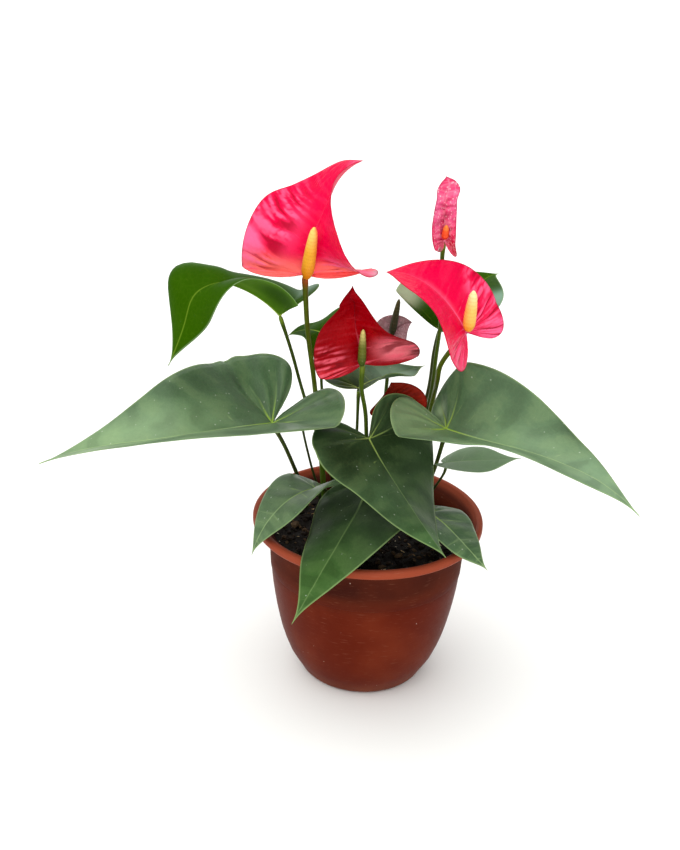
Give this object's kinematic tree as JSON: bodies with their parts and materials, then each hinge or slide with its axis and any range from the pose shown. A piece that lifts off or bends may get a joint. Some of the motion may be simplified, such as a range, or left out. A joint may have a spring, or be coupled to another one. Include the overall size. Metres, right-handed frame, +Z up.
{
  "type": "potted anthurium",
  "caption": "Flowering anthurium with glossy heart-shaped leaves and red spathes with upright spadices, growing in dark soil in a round tapered plastic pot.",
  "frame": {"origin": "middle of the pot's flat underside", "axes": "+Z up along the pot's axis, -Y towards the front of the plant, +X to its right as seen from the front"},
  "size_m": [0.364, 0.203, 0.3563],
  "materials": {
    "terracotta_plastic": "moulded plastic, satin, finely scuffed",
    "potting_mix": "loose bark and peat",
    "mature_leaf": "waxy, dusty sheen, paler veins",
    "young_leaf": "fresh and waxy",
    "pale_leaf": "matt pale underside",
    "leaf_stalk": "smooth green stalk",
    "flower_stalk": "smooth green to reddish stalk",
    "fresh_spathe": "glossy wax, puckered between the veins",
    "shaded_spathe": "glossy wax, deep red",
    "ageing_spathe": "dull brick red",
    "withered_spathe": "dry greyish pink",
    "fresh_spadix": "fine beaded surface, cream to golden",
    "young_spadix": "fine beaded surface, orange",
    "green_spadix": "fine beaded surface, olive",
    "old_spadix": "fine beaded surface, brown-green"
  },
  "bodies": {
    "root": {"pot": "terracotta_plastic", "soil": "potting_mix", "leaf_left_blade": "mature_leaf", "leaf_left_stalk": "leaf_stalk", "leaf_right_blade": "mature_leaf", "leaf_right_stalk": "leaf_stalk", "leaf_centre_blade": "mature_leaf", "leaf_centre_stalk": "leaf_stalk", "leaf_front_blade": "mature_leaf", "leaf_front_stalk": "leaf_stalk", "leaf_low_left_blade": "mature_leaf", "leaf_low_left_stalk": "leaf_stalk", "leaf_low_right_blade": "mature_leaf", "leaf_low_right_stalk": "leaf_stalk", "leaf_upper_left_blade": "young_leaf", "leaf_upper_left_stalk": "leaf_stalk", "leaf_under_right_blade": "pale_leaf", "leaf_under_right_stalk": "leaf_stalk", "leaf_under_bloom_blade": "mature_leaf", "leaf_under_bloom_stalk": "leaf_stalk", "leaf_back_right_blade": "young_leaf", "leaf_back_right_stalk": "leaf_stalk", "leaf_young_blade": "young_leaf", "leaf_young_stalk": "leaf_stalk", "bloom_tall_left_spathe": "fresh_spathe", "bloom_tall_left_stalk": "flower_stalk", "bloom_tall_left_spadix": "fresh_spadix", "bloom_right_spathe": "fresh_spathe", "bloom_right_stalk": "flower_stalk", "bloom_right_spadix": "fresh_spadix", "bloom_top_spathe": "fresh_spathe", "bloom_top_stalk": "flower_stalk", "bloom_top_spadix": "young_spadix", "bloom_middle_spathe": "shaded_spathe", "bloom_middle_stalk": "flower_stalk", "bloom_middle_spadix": "green_spadix", "bloom_spent_spathe": "withered_spathe", "bloom_spent_stalk": "flower_stalk", "bloom_spent_spadix": "old_spadix", "bloom_low_back_spathe": "ageing_spathe", "bloom_low_back_stalk": "flower_stalk", "bloom_low_back_spadix": "green_spadix", "bare_stalk": "leaf_stalk"}
  },
  "joints": []
}
